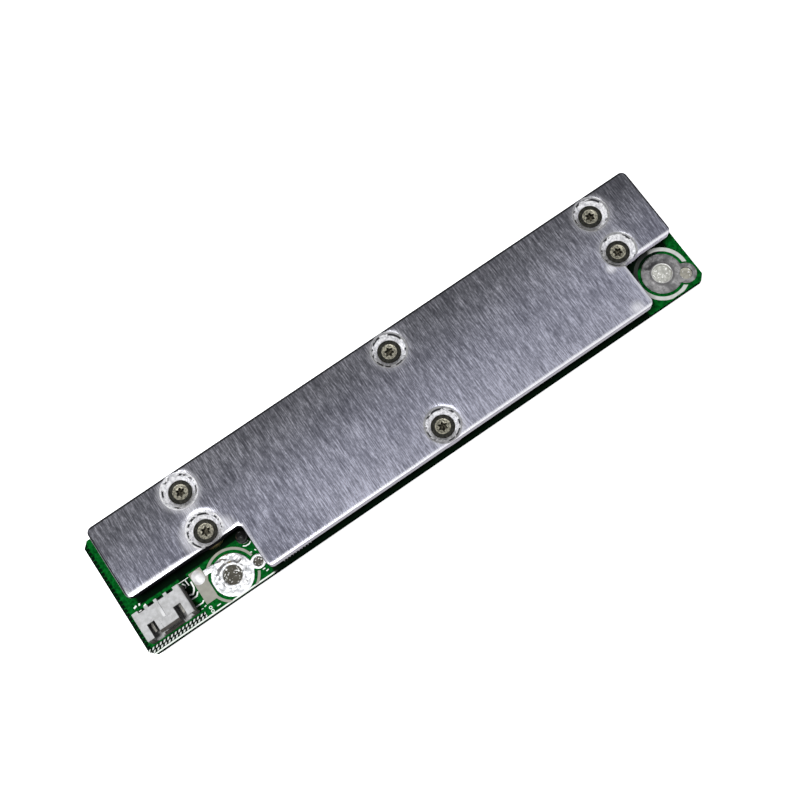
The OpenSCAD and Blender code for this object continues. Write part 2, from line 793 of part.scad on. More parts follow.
module temperature_bead() {
    color([0.07, 0.07, 0.07]) {
        translate([bead_at[0], bead_at[1], top_z + bead_up]) sphere(d = bead_d);
        translate([bead_at[0], bead_at[1], top_z + 0.4])
            cylinder(d1 = bead_leg_gap + bead_leg_d + 0.1, d2 = bead_d * 0.8, h = bead_up - 0.6);
        for (p = bead_legs) translate([p[0], p[1], board_z - pin_tail])
            cylinder(d = bead_leg_d, h = pin_tail + board_t + 1);
    }
}

module chip_legs() {
    for (s = [0, 1], i = [0:leg_n - 1]) mirror([0, s, 0])
        translate([(i - (leg_n - 1) / 2) * leg_pitch, chip_w / 2, 0])
            gull_lead(0.24, 0.3, leg_out, 0.45, 0.14, 0.3, 0.5);
}

module monitor_chip() {
    color([0.12, 0.12, 0.13])
    translate([chip_x, small_y, top_z]) difference() {
        moulded(chip_l, chip_w, 0.1, chip_h, 0.5, 0.12);
        chip_legs();
        translate([-chip_l / 2 + 0.9, -chip_w / 2 + 0.9, chip_h - 0.05])
            cylinder(d = 0.7, h = cut);
    }
}

module monitor_legs() {
    color([0.78, 0.78, 0.8])
    translate([chip_x, small_y, top_z]) chip_legs();
}

// Metal-strip shunt along the row: thick ends on the board, raised middle.
module shunt(x) {
    end = 1.3;
    t = 0.6;
    lift = 0.15;
    color([0.2, 0.2, 0.22])
    translate([x, small_y + shunt_w / 2, top_z]) rotate([90, 0, 0]) linear_extrude(shunt_w)
        polygon([[-shunt_l / 2, 0], [-shunt_l / 2 + end, 0], [-shunt_l / 2 + end + lift, lift],
                 [shunt_l / 2 - end - lift, lift], [shunt_l / 2 - end, 0], [shunt_l / 2, 0],
                 [shunt_l / 2, t], [shunt_l / 2 - end, t], [shunt_l / 2 - end - lift, t + lift],
                 [-shunt_l / 2 + end + lift, t + lift], [-shunt_l / 2 + end, t],
                 [-shunt_l / 2, t]]);
}

module bleed_resistor(x) {
    w = 1.6;
    h = 0.6;
    color([0.16, 0.15, 0.15])
    translate([x, small_y - 1.9, top_z]) chip_part(bleed_l, w, h, 0.5);
}

module bleed_transistor(x) {
    l = 2.9;
    w = 1.3;
    h = 1;
    leg_gap = 1.9;
    color([0.12, 0.12, 0.13])
    translate([x, small_y + 1.4, top_z]) {
        moulded(l, w, 0.08, h, h / 2, 0.1);
        for (s = [-1, 1]) translate([s * leg_gap / 2, -w / 2, 0]) mirror([0, 1, 0])
            small_leg();
        translate([0, w / 2, 0]) small_leg();
    }
}

module small_leg() {
    gull_lead(0.4, 0.1, 0.55, 0.43, 0.14, 0.25, 0.3);
}

module filter_capacitor(x) {
    l = 2;
    w = 1.25;
    h = 0.9;
    color([0.62, 0.5, 0.36])
    translate([x + channel_pitch / 2, small_y - 0.6, top_z]) rotate([0, 0, 90])
        chip_part(l, w, h, 0.4);
}

module surge_diode() {
    l = 4.4;
    w = 3.6;
    h = 2.2;
    tab_w = 2.2;
    foot = 1.4;
    t = 0.2;
    out = 0.35;
    color([0.12, 0.12, 0.13])
    translate([diode_x, small_y, top_z]) {
        moulded(l, w, 0.1, h, h / 2, 0.2);
        for (s = [0, 1]) mirror([s, 0, 0]) translate([-l / 2 - out, -tab_w / 2, 0]) {
            cube([foot, tab_w, t]);
            cube([t, tab_w, h / 2 + 0.15]);
            translate([0, 0, h / 2 - 0.05]) cube([out + 0.25, tab_w, t]);
        }
    }
}

// ---------- output ----------

circuit_board();
heat_plate();
plate_screws();
plate_nuts();
insulating_washers();
plate_spacers();
header_shell();
for (i = [1:pin_count])
    header_pin(pin_xs[i - 1]);
solder_joints();
for (i = [1:2 * group_n]) {
    mosfet_body(mosfet_xs[i - 1]);
    mosfet_frame(mosfet_xs[i - 1]);
}
for (i = [1:2])
    gap_pad(group_xs[i - 1]);
terminal_left();
terminal_right();
land_left();
land_right();
solder_blob();
temperature_bead();
monitor_chip();
monitor_legs();
for (i = [1:shunt_n])
    shunt(shunt_xs[i - 1]);
for (i = [1:channel_n]) {
    bleed_resistor(channel_xs[i - 1]);
    bleed_transistor(channel_xs[i - 1]);
    filter_capacitor(channel_xs[i - 1]);
}
surge_diode();
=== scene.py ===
# Battery management board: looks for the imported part.
import json
import math
import random

import bmesh
import bpy
from mathutils import Matrix, Vector, noise


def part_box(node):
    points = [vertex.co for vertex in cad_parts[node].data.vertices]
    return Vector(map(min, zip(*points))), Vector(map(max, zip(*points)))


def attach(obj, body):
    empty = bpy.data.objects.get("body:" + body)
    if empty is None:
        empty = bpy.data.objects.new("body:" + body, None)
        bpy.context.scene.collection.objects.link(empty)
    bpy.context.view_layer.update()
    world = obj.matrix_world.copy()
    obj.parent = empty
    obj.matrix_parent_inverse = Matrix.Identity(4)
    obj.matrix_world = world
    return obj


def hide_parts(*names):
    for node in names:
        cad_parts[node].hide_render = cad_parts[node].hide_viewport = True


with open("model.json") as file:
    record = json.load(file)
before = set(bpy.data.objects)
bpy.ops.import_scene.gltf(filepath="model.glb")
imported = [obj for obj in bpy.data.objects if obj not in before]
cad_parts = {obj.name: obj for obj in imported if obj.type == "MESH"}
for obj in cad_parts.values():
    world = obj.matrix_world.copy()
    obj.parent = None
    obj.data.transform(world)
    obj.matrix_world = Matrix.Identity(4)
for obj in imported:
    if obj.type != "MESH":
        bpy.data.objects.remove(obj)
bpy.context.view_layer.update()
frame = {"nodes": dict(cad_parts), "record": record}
nodes = frame["nodes"]
mm = 0.001


# A node's CAD box by its sides, in millimetres.
def sides(name):
    low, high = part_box(name)
    left, front, under = [round(v / mm, 3) for v in low]
    right, rear, top = [round(v / mm, 3) for v in high]
    return {"left": left, "right": right, "front": front, "rear": rear, "under": under, "top": top}


# The middle and the radius of a wire hole, in millimetres.
def wireHole(name):
    mount = next(m for m in frame["record"]["mounts"] if m["name"] == name)
    return tuple(round(v / mm, 3) for v in mount["pos_m"][:2]), mount["dims"]["r_mm"]


board = sides("circuit_board")
plate = {
    **sides("heat_plate"),
    "thickness": 2.0, "leftNotch": 23.8, "rightNotch": 11.2, "notchDepth": 9.6,
    "corner": 1.2, "innerCorner": 0.9, "underEdge": 0.15,
    # how far in from the wall, and how far below the face: the edge rolls off softly
    "roll": [(0.0, 0.3), (0.03, 0.18), (0.09, 0.1), (0.2, 0.055), (0.4, 0.03), (0.7, 0.012),
             (1.05, 0.0)],
}
plate["under"] = plate["top"] - plate["thickness"]
plate["notchLeft"] = plate["left"] + plate["leftNotch"]
plate["notchRight"] = plate["right"] - plate["rightNotch"]
plate["notchY"] = plate["front"] + plate["notchDepth"]

header = sides("header_shell")
header["middle"] = (header["left"] + header["right"]) / 2
header["height"] = 4.8

# three columns of two countersunk screws, the outer columns with one beside their notch
screwHead = 2.25
screwReach = sides("plate_screws")
firstColumn = screwReach["left"] + screwHead
lastColumn = screwReach["right"] - screwHead
middleColumn = (firstColumn + lastColumn) / 2
outerRow = round(screwReach["rear"] - screwHead, 1)
screwPlaces = [(firstColumn, outerRow), (firstColumn, 0), (middleColumn, outerRow),
               (middleColumn, -outerRow), (lastColumn, outerRow), (lastColumn, 0)]

leftTerminal, leftBore = wireHole("terminal_left_hole")
rightTerminal, rightBore = wireHole("terminal_right_hole")
leftSmall, leftSmallBore = wireHole("small_left_hole")
rightSmall, rightSmallBore = wireHole("small_right_hole")

cameraSettings = {
    "place": (-0.02479, -0.05801, 0.24575),
    "turn": (14.758, 2.856, -34.472),
    "lens": 59.82,
}


def addCamera(settings):
    data = bpy.data.cameras.new("camera")
    data.lens = settings["lens"]
    data.sensor_width = 36
    data.clip_start = 0.01
    data.clip_end = 20
    camera = bpy.data.objects.new("camera", data)
    camera.location = settings["place"]
    camera.rotation_euler = [math.radians(a) for a in settings["turn"]]
    bpy.context.scene.collection.objects.link(camera)
    bpy.context.scene.camera = camera


# the small lamp lights and casts shadows, the broad one is there for the gloss alone
lamps = {
    "overhead": {"place": (-0.17, -0.05, 0.6), "size": (0.14, 0.12), "power": 4.0,
                 "lights": True, "shines": False},
    "sheen": {"place": (-0.17, -0.09, 0.6), "size": (0.26, 0.2), "power": 0.8,
              "lights": False, "shines": True},
}


# An area lamp that looks at the middle of the part.
def addLamp(name, settings):
    data = bpy.data.lights.new(name, "AREA")
    data.shape = "RECTANGLE"
    data.size, data.size_y = settings["size"]
    data.energy = settings["power"]
    lamp = bpy.data.objects.new(name, data)
    lamp.location = settings["place"]
    lamp.rotation_euler = (-Vector(settings["place"])).to_track_quat("-Z", "Y").to_euler()
    lamp.visible_diffuse = settings["lights"]
    lamp.visible_glossy = settings["shines"]
    bpy.context.scene.collection.objects.link(lamp)


room = {
    "fill": (0.92, 0.95, 1.0), "fillStrength": 0.18,
    "floorSize": 3.0, "floorSeen": 0.97, "floorLift": 0.82, "floorBounce": 0.2,
}


# A white room: the eye, gloss and glass see it white, and it lights the rest gently.
def addRoom(settings):
    world = bpy.data.worlds.new("studio")
    bpy.context.scene.world = world
    world.use_nodes = True
    tree = world.node_tree
    tree.nodes.clear()
    plain = tree.nodes.new("ShaderNodeBackground")
    plain.inputs["Color"].default_value = (*settings["fill"], 1)
    plain.inputs["Strength"].default_value = settings["fillStrength"]
    seen = tree.nodes.new("ShaderNodeBackground")
    seen.inputs["Color"].default_value = (1, 1, 1, 1)
    seen.inputs["Strength"].default_value = 1.0
    out = tree.nodes.new("ShaderNodeOutputWorld")
    mixByRay(tree, plain, seen, out)

    bm = bmesh.new()
    bmesh.ops.create_grid(bm, x_segments=1, y_segments=1, size=settings["floorSize"])
    mesh = bpy.data.meshes.new("floor")
    bm.to_mesh(mesh)
    bm.free()
    floor = bpy.data.objects.new("floor", mesh)
    bpy.context.scene.collection.objects.link(floor)
    bounce = settings["floorBounce"]
    look = Surface("paleFloor", (bounce, bounce, bounce), 0.9)
    pale = look.tree.nodes.new("ShaderNodeBsdfPrincipled")
    pale.inputs["Base Color"].default_value = (*[settings["floorSeen"]] * 3, 1)
    pale.inputs["Roughness"].default_value = 0.9
    pale.inputs["Specular IOR Level"].default_value = 0.0
    pale.inputs["Emission Color"].default_value = (1, 1, 1, 1)
    pale.inputs["Emission Strength"].default_value = settings["floorLift"]
    mixByRay(look.tree, look.shader, pale, look.output)
    mesh.materials.append(look.material)


def mixByRay(tree, plain, seen, out):
    path = tree.nodes.new("ShaderNodeLightPath")
    picked = path.outputs["Is Camera Ray"]
    for kind in ("Is Glossy Ray", "Is Transmission Ray"):
        either = tree.nodes.new("ShaderNodeMath")
        either.operation = "MAXIMUM"
        tree.links.new(picked, either.inputs[0])
        tree.links.new(path.outputs[kind], either.inputs[1])
        picked = either.outputs[0]
    mixed = tree.nodes.new("ShaderNodeMixShader")
    tree.links.new(picked, mixed.inputs[0])
    tree.links.new(plain.outputs[0], mixed.inputs[1])
    tree.links.new(seen.outputs[0], mixed.inputs[2])
    tree.links.new(mixed.outputs[0], out.inputs["Surface"])


# A socket that takes part in sums: each operator adds its Math node.
class Wire:
    def __init__(self, surface, socket):
        self.surface = surface
        self.socket = socket

    def sum(self, operation, first, second=0.0):
        return self.surface.node("ShaderNodeMath", {"operation": operation}, {0: first, 1: second})

    def __add__(self, other):
        return self.sum("ADD", self, other)

    __radd__ = __add__

    def __sub__(self, other):
        return self.sum("SUBTRACT", self, other)

    def __rsub__(self, other):
        return self.sum("SUBTRACT", other, self)

    def __mul__(self, other):
        return self.sum("MULTIPLY", self, other)

    __rmul__ = __mul__

    def __truediv__(self, other):
        return self.sum("DIVIDE", self, other)

    def __rtruediv__(self, other):
        return self.sum("DIVIDE", other, self)

    def __gt__(self, other):
        return self.sum("GREATER_THAN", self, other)

    def __lt__(self, other):
        return self.sum("LESS_THAN", self, other)

    def __mod__(self, other):
        return self.sum("FLOORED_MODULO", self, other)

    def __abs__(self):
        return self.sum("ABSOLUTE", self)

    def least(self, other):
        return self.sum("MINIMUM", self, other)

    def most(self, other):
        return self.sum("MAXIMUM", self, other)

    # 0 below low, 1 above high, smooth between
    def rise(self, low, high):
        return self.surface.node(
            "ShaderNodeMapRange", {"interpolation_type": "SMOOTHSTEP"},
            {"Value": self, "From Min": low, "From Max": high, "To Min": 0.0, "To Max": 1.0})


# A material and its nodes: feed sets or links a socket of its one shader.
class Surface:
    def __init__(self, name, colour, roughness=0.5, metallic=0.0):
        self.material = bpy.data.materials.new(name)
        self.material.use_nodes = True
        self.tree = self.material.node_tree
        self.tree.nodes.clear()
        self.shader = self.tree.nodes.new("ShaderNodeBsdfPrincipled")
        self.output = self.tree.nodes.new("ShaderNodeOutputMaterial")
        self.tree.links.new(self.shader.outputs[0], self.output.inputs["Surface"])
        self.material.diffuse_color = (*colour, 1)
        self.feed("Base Color", colour)
        self.feed("Roughness", roughness)
        self.feed("Metallic", metallic)

    def node(self, kind, settings=None, inputs=None, out=0):
        made = self.tree.nodes.new(kind)
        for key, value in (settings or {}).items():
            if key == "stops":
                ramp = made.color_ramp
                while len(ramp.elements) < len(value):
                    ramp.elements.new(1.0)
                for element, (position, colour) in zip(ramp.elements, value):
                    element.position = position
                    element.color = (*colour, 1)
            else:
                setattr(made, key, value)
        for key, value in (inputs or {}).items():
            self.plug(made.inputs[key], value)
        return Wire(self, made.outputs[out])

    def plug(self, socket, value):
        if isinstance(value, Wire):
            self.tree.links.new(value.socket, socket)
        elif isinstance(value, (tuple, list)) and len(socket.default_value) == 4:
            socket.default_value = (*value[:3], 1)
        else:
            socket.default_value = value

    def feed(self, name, value):
        self.plug(self.shader.inputs[name], value)

    # Object coordinates in millimetres, stretched by the three factors
    def place(self, stretch=(1, 1, 1), shift=(0, 0, 0)):
        spot = self.node("ShaderNodeTexCoord", out="Object")
        scaled = self.node("ShaderNodeVectorMath", {"operation": "MULTIPLY"},
                           {0: spot, 1: tuple(s / mm for s in stretch)})
        return self.node("ShaderNodeVectorMath", {"operation": "ADD"}, {0: scaled, 1: shift})

    def axes(self, place=None):
        split = self.tree.nodes.new("ShaderNodeSeparateXYZ")
        self.plug(split.inputs[0], place or self.place())
        return [Wire(self, s) for s in split.outputs]

    def cloud(self, place, scale, detail=3.0, rough=0.55, warp=0.0):
        return self.node("ShaderNodeTexNoise", {},
                         {"Vector": place, "Scale": scale, "Detail": detail, "Roughness": rough,
                          "Distortion": warp})

    def mix(self, factor, first, second):
        made = self.tree.nodes.new("ShaderNodeMix")
        made.data_type = "RGBA"
        self.plug(made.inputs[0], factor)
        self.plug(made.inputs[6], first)
        self.plug(made.inputs[7], second)
        return Wire(self, made.outputs[2])

    def ramp(self, value, stops):
        return self.node("ShaderNodeValToRGB", {"stops": stops}, {0: value})

    def bump(self, height, depth, strength=1.0):
        self.feed("Normal", self.node(
            "ShaderNodeBump", {}, {"Height": height, "Distance": depth * mm, "Strength": strength}))


# distance in the XY plane from a point, in millimetres
def distance(surface, x, y, at):
    dx = x - at[0]
    dy = y - at[1]
    return surface.node("ShaderNodeMath", {"operation": "SQRT"}, {0: dx * dx + dy * dy})


plateLook = {
    "rearTones": [(0.47, (0.045, 0.046, 0.055)), (0.61, (0.12, 0.121, 0.138)), (0.78, (0.33, 0.33, 0.37))],
    "frontTones": [(0.47, (0.088, 0.09, 0.12)), (0.61, (0.2, 0.204, 0.255)), (0.78, (0.46, 0.465, 0.56))],
    "bright": (0.88, 0.88, 0.93), "rim": (0.02, 0.02, 0.022),
    "fine": (5.2, 0.42, 1), "broad": (1.6, 0.12, 1), "patches": (0.09, 0.14, 0.1), "specks": (3.4, 1.6, 1),
    "highlightBand": 0.8, "wideHighlightBand": 1.3, "roughness": 0.13, "dish": 0.13,
}
# painted highlights on the metal: place, radius inside, radius outside, strength
paintedShine = [(x, y, 3.2, 4.7, 0.38 - 0.2 * (x > 0)) for x, y in screwPlaces] + [
    (firstColumn - 0.8, -0.4, 3.3, 4.8, 0.35), (firstColumn, 4.5, 0.3, 2.3, 0.42),
    (middleColumn + 0.3, -10.2, 2.2, 4.2, 0.3), (plate["notchLeft"] - 2.1, -1.5, 0.3, 2.4, 0.5),
    (plate["left"] - 0.6, -1.9, 0.2, 2.4, 0.7), (plate["notchRight"] - 3.1, -11.4, 0.2, 2.2, 0.6),
    (plate["notchRight"] - 2.5, -2.2, 0.2, 1.5, 0.7)]


def plateSurface():
    t = plateLook
    s = Surface("brushedAluminium", (0.14, 0.14, 0.16), 0.3, 1.0)
    s.feed("Specular IOR Level", 0.0)
    x, y, z = s.axes()
    # streaks across the plate, worn patches and specks
    fine = s.cloud(s.place(t["fine"]), 1.0, 3, 0.6)
    broad = s.cloud(s.place(t["broad"], (3, 0, 0)), 1.0, 3, 0.5)
    patches = s.cloud(s.place(t["patches"]), 1.0, 2, 0.5)
    specks = s.cloud(s.place(t["specks"]), 1.0, 4, 0.7)
    tone = fine * 0.6 + broad * 0.14 + patches * 0.14 + specks * 0.34
    # painted reflection: the face is darker to the rear and lighter to the front, more so away from the
    # left end, and darker at the right end
    tone = (4.5 - y) * x.rise(-34, -16) * 0.0046 + tone - x.rise(49, 58) * 0.035
    brushed = s.mix((plate["rear"] - y).rise(0.0, 18.0), s.ramp(tone, t["rearTones"]),
                    s.ramp(tone, t["frontTones"]))
    # painted highlights: the edges that face the front, the tops of the notch walls and the metal round
    # some screws are painted bright
    uneven = (specks - 0.5) * 0.6
    inMain = (x > plate["notchLeft"]) * (x < plate["notchRight"])
    fromEdge = y - (inMain * (plate["front"] - plate["notchY"]) + plate["notchY"])
    wide = (x < plate["notchLeft"]) * (1 - x.rise(-53, -45) * 0.7)
    width = t["highlightBand"] + (t["wideHighlightBand"] - t["highlightBand"]) * wide
    highlightBand = (1 - ((fromEdge + uneven) / width).rise(0.3, 1.0)) * (0.75 + 0.5 * fine)
    fromNotch = (x - plate["notchLeft"]).least(plate["notchRight"] - x)
    notchHighlight = (1 - (fromNotch + uneven).rise(0.1, 0.9)) * (y < plate["notchY"]) * inMain
    dim = 1.0
    for atX, atY, inside, outside, strength in paintedShine:
        away = distance(s, x, y, (atX, atY)).rise(inside, outside)
        dim = (1 - strength * (1 - away)) * dim
    paintedGlow = (1 - dim) * (0.7 + fine * 0.5)
    bright = highlightBand.most(notchHighlight * 0.45).most(paintedGlow).least(1.0)
    colour = s.mix(bright, brushed, t["bright"])
    # painted reflection: a thin dark line along the rear and the ends; painted shade: a broken dark ring at
    # each countersink's lip
    fromRear = (plate["rear"] - y).least(x - plate["left"] + 0.1).least(plate["right"] - x + 0.1)
    rim = 1 - (fromRear + uneven * 0.3).rise(0.36, 0.54)
    lip = ringMask(s, x, y, 3.36, 3.62) * s.cloud(s.place(shift=(9, 2, 0)), 0.6, 2).rise(0.45, 0.6)
    s.feed("Base Color", s.mix(rim.most(lip * 0.85), colour, t["rim"]))
    s.feed("Metallic", 1 - rim)
    s.feed("Roughness", t["roughness"] + 0.1 * fine + 0.05 * patches)
    # the face sinks a little towards each screw
    dish = 1.0
    for at in screwPlaces:
        dish = distance(s, x, y, at).rise(2.6, 6.2) * dish
    s.bump(dish * t["dish"] + fine * 0.022 + broad * 0.015 + specks * 0.012, 1.0, 1.0)
    return s.material


# The plate's sawn sides: painted shade makes them dark at the left notch; they are paler along the front,
# and a painted highlight makes them paler still in the right notch.
def sideSurface():
    s = Surface("sawnEdgeAndShade", (0.1, 0.1, 0.11), 1.0)
    s.feed("Specular IOR Level", 0.0)
    x, y, z = s.axes()
    grain = s.cloud(s.place((2.5, 2.5, 0.6)), 1.0, 4, 0.6)
    # painted shade at the left notch, painted highlight at the right notch
    notchShade = (x < plate["notchLeft"] + 0.3) * (y < plate["notchY"] + 0.3)
    right = x.rise(plate["notchRight"] - 0.1, plate["notchRight"]) * (y < plate["notchY"] + 0.2)
    pale = (0.26 + right * 0.4) * (0.4 + 1.2 * grain) * (1 - notchShade * 0.97)
    s.feed("Base Color", s.mix(pale.least(1.0), (0.012, 0.012, 0.014), (0.78, 0.74, 0.86)))
    s.feed("Metallic", 1 - notchShade)
    s.feed("Roughness", 0.5 + 0.2 * grain)
    return s.material


# 1 between two radii round any screw
def ringMask(surface, x, y, inside, outside):
    mask = 0.0
    for at in screwPlaces:
        away = distance(surface, x, y, at)
        mask = away.rise(inside - 0.06, inside) * (1 - away.rise(outside - 0.06, outside)) + mask
    return mask


# The cut cone and the dish round each screw: bright bare metal, partly a painted reflection, with a broken
# dark ring of painted shade at the lip.
def sinkSurface():
    s = Surface("freshCutAndSheen", (0.9, 0.9, 0.92), 0.32, 1.0)
    x, y, z = s.axes()
    grain = s.cloud(s.place(), 1.6, 5, 0.7)
    lipBreaks = s.cloud(s.place(shift=(4, 7, 0)), 0.7, 3, 0.6)
    bright = s.mix(grain.rise(0.36, 0.62), (0.5, 0.5, 0.53), (0.93, 0.93, 0.95))
    # painted shade: a broken dark ring at the lip, and the outer ring darker on the right-hand screws
    lipShade = ringMask(s, x, y, 2.95, 3.28) * lipBreaks.rise(0.49, 0.53)
    outer = ringMask(s, x, y, 3.2, 3.7) * (x > 0) * 0.6
    s.feed("Base Color", s.mix(lipShade.most(outer), bright, (0.04, 0.04, 0.045)))
    s.bump(grain, 0.03)
    return s.material


# Plated steel, mottled between a dull and a clean tone.
def screwSurface(name, colour, roughness, low=0.45, scale=1.7):
    s = Surface(name, colour, roughness, 1.0)
    grain = s.cloud(s.place(), scale, 5, 0.7)
    s.feed("Base Color", s.mix(grain.rise(0.42, 0.6), [c * low for c in colour], colour))
    s.feed("Roughness", roughness - 0.1 + 0.25 * grain)
    s.bump(grain, 0.04)
    return s.material


boardLook = {
    # the shade colour serves the dark print and the painted shade
    "dark": (0.0008, 0.042, 0.006), "light": (0.003, 0.125, 0.016), "shade": (0.002, 0.005, 0.003),
    "white": (0.8, 0.84, 0.8),
    "stripFrom": 0.34, "stripTo": 1.5, "stripEnd": header["right"] + 0.85,
    "rowPitch": 0.58, "strokePitch": 0.8, "slant": 0.8,
    "lineEnd": plate["notchLeft"] + 0.7, "spotPitch": 0.9,
}


def boardSurface():
    t = boardLook
    s = Surface("greenSolderMask", (0.01, 0.13, 0.03), 0.3)
    s.feed("Specular IOR Level", 0.0)
    x, y, z = s.axes()
    weave = s.cloud(s.place(), 1.3, 4, 0.65)
    green = s.mix(weave.rise(0.34, 0.66), t["dark"], t["light"])
    fromFront = y - board["front"]
    fromLeft = x - board["left"]
    uneven = s.cloud(s.place(), 1.1, 2) * 0.12
    # slanting pale strokes on a dark strip, and the bare line in front of them
    strip = fromFront.rise(t["stripFrom"], t["stripFrom"] + 0.08) * (x < t["stripEnd"])
    strip = strip * (1 - (fromFront + uneven).rise(t["stripTo"], t["stripTo"] + 0.12))
    row = (fromFront - t["stripFrom"]) / t["rowPitch"]
    step = row - row % 1
    along = (x - y * t["slant"] + step * t["strokePitch"] / 2) / t["strokePitch"]
    stroke = abs(along % 1 - 0.5).rise(0.24, 0.32) * (1 - abs(row % 1 - 0.5).rise(0.26, 0.4))
    line = fromFront.rise(0.04, 0.08) * (1 - (fromFront + uneven).rise(0.36, 0.42)) * (x < t["lineEnd"])
    # dark spots along the left edge
    spots = abs((y / t["spotPitch"]) % 1 - 0.5).rise(0.06, 0.14)
    spots = spots * (1 - (fromLeft + uneven * 2).rise(0.8, 0.95))
    spots = spots.most(1 - (fromLeft + uneven).rise(0.35, 0.45))
    # painted shade on the ground beside the header, and behind each of its pins
    fromHeader = x - header["right"]
    besideHeaderShade = fromHeader.rise(-0.15, 0.05) * (1 - (fromHeader + uneven * 6).rise(1.75, 2.15))
    besideHeaderShade = besideHeaderShade * y.rise(-8.1, -7.6)
    fromMark = abs(((x - header["left"] - 1.23) / 2 + 0.5) % 1 - 0.5) * 2
    behindPinsShade = (fromMark < 0.56) * (y > header["rear"] + 0.25) * (y < header["rear"] + 1.0)
    behindPinsShade = behindPinsShade * (x > header["left"]) * (x < header["right"] - 1.6)
    dark = (strip * 0.97).most(spots * 0.95).most(besideHeaderShade * 0.92).most(behindPinsShade)
    colour = s.mix(dark, green, t["shade"])
    colour = s.mix((line + strip * stroke * 0.8).least(1.0), colour, t["white"])
    # painted shade under the plate; the cut edges are dark, and darkest along the front where shade is
    # painted
    inX = (x - plate["left"]).rise(-0.2, 0.6) * (plate["right"] - x).rise(-0.2, 0.6)
    reach = uneven * 1.5 - 0.36 + (x > 0) * (x < rightTerminal[0] + 1.0) * 0.6
    inY = (plate["rear"] - y).rise(-0.2, 0.4) * (y - plate["notchY"] + reach).rise(-0.95, -0.6)
    main = (x - plate["notchLeft"]).rise(-0.3, 0.4) * (plate["notchRight"] - x).rise(-0.3, 0.4)
    above = z.rise(board["under"] + 0.02, board["under"] + 0.05)
    shade = (inX * inY).most(main) * above * (1 - y.rise(-1.0, 2.5) * 0.6)
    side = (1 - z.rise(board["top"] - 0.05, board["top"] - 0.02)) * above
    side = side * (1 - fromFront.rise(0.02, 0.05) * 0.3)
    s.feed("Base Color", s.mix(shade.most(side) * 0.97, colour, t["shade"]))
    s.feed("Roughness", 0.35 + 0.15 * weave + 0.3 * shade)
    s.bump(weave, 0.02)
    return s.material


def headerSurface():
    s = Surface("headerNylon", (0.56, 0.56, 0.56), 0.5)
    s.feed("Specular IOR Level", 0.05)
    x, y, z = s.axes()
    grain = s.cloud(s.place(), 1.2, 4, 0.6)
    pale = s.mix(grain.rise(0.32, 0.72), (0.4, 0.4, 0.4), (0.54, 0.54, 0.55))
    fromMiddle = x - header["middle"]
    fromMouth = y - header["front"]
    fromTop = z - board["top"] - header["height"]
    # painted highlight: the middle rib is painted lighter
    rib = (1 - fromMouth.rise(2.75, 4.35)) * fromMouth.rise(2.05, 2.25)
    rib = rib * (1 - abs(fromMiddle).rise(0.2, 0.3))
    pale = s.mix(rib * 0.7, pale, (0.76, 0.76, 0.76))
    # painted shade darkens the mouth and the foot, the floor inside and the right wall
    below = 1 - fromTop.rise(-0.2, -0.04)
    mouth = (1 - fromMouth.rise(0.04, 0.4)) * below * (1 - fromTop.rise(-1.2, -0.1) * 0.3)
    between = 1 - abs(fromMiddle).rise(2.0, 2.1)
    mouth = mouth.most(between * (1 - fromMouth.rise(0.5, 0.62)))
    side = x.rise(header["right"] - 0.1, header["right"] - 0.04) * below
    inside = (1 - fromTop.rise(-0.8, -0.6)) * fromMouth.rise(0.35, 0.75) * 0.5
    # painted shade is left off where light falls through the slots on the floor of the mouth
    lit = (1 - abs(abs(fromMiddle + 0.2) - 2.9).rise(0.5, 0.8)) * (1 - fromTop.rise(-3.5, -3.3))
    headerShade = (mouth * 0.93 * (1 - lit)).most(inside).most(side * 0.85)
    s.feed("Base Color", s.mix(headerShade, pale, (0.035, 0.029, 0.024)))
    s.feed("Roughness", 0.42 + 0.16 * grain)
    s.bump(grain, 0.01)
    return s.material


# The pale ring round the right wire hole, with painted shade where the plate overhangs it.
def ringSurface():
    s = Surface("paleRing", (0.6, 0.61, 0.59), 0.6)
    s.feed("Specular IOR Level", 0.2)
    x, y, z = s.axes()
    grain = s.cloud(s.place(), 1.1, 4, 0.6)
    atX, atY = rightTerminal
    overhangShade = (1 - (x - atX + grain).rise(0.5, 1.4)) * (y - atY + grain).rise(0.9, 2.1)
    pale = s.mix(grain.rise(0.3, 0.75), (0.5, 0.51, 0.49), (0.6, 0.61, 0.59))
    s.feed("Base Color", s.mix(overhangShade * 0.96, pale, boardLook["shade"]))
    s.bump(grain, 0.03)
    return s.material


# Tinned metal round a wire hole: smooth at the hole and the border, dented between.
def tinnedSurface(name, at, low, high, dentShade, rough, depth, shadeAndRimLight):
    s = Surface(name, high, 0.3, 1.0)
    x, y, z = s.axes()
    away = distance(s, x, y, at)
    lumps = s.cloud(s.place(), 0.75, 5, 0.62)
    lines = s.cloud(s.place(shift=(3, 1, 0)), 0.9, 3, 0.55, 0.6)
    # painted shade: dark creases and dark hollows between the lumps, a dark ring round the hole and a
    # broken dark outer edge; a painted highlight on the rim of the hole
    between = away.rise(2.1, 2.6) * (1 - away.rise(3.3, 3.8))
    crease = (1 - abs(lines - 0.5).rise(0.012, 0.035)) * between
    shadow = (1 - lumps.rise(0.38, 0.56)) * between * 0.6
    colour = s.mix(lumps.rise(0.38, 0.62), low, high)
    holeRingShade = away.rise(2.0, 2.12) * (1 - away.rise(2.3, 2.65)) * shadeAndRimLight
    edge = away.rise(3.45, 3.9) * shadeAndRimLight * lines.rise(0.42, 0.58)
    dull = (crease.most(shadow) * dentShade).most(holeRingShade).most(edge)
    colour = s.mix(dull, colour, [c * 0.35 for c in high])
    s.feed("Base Color", s.mix((1 - away.rise(1.9, 2.05)) * shadeAndRimLight, colour, (0.75, 0.75, 0.72)))
    s.feed("Roughness", rough + 0.2 * lumps)
    s.bump(lumps, depth)
    return s.material


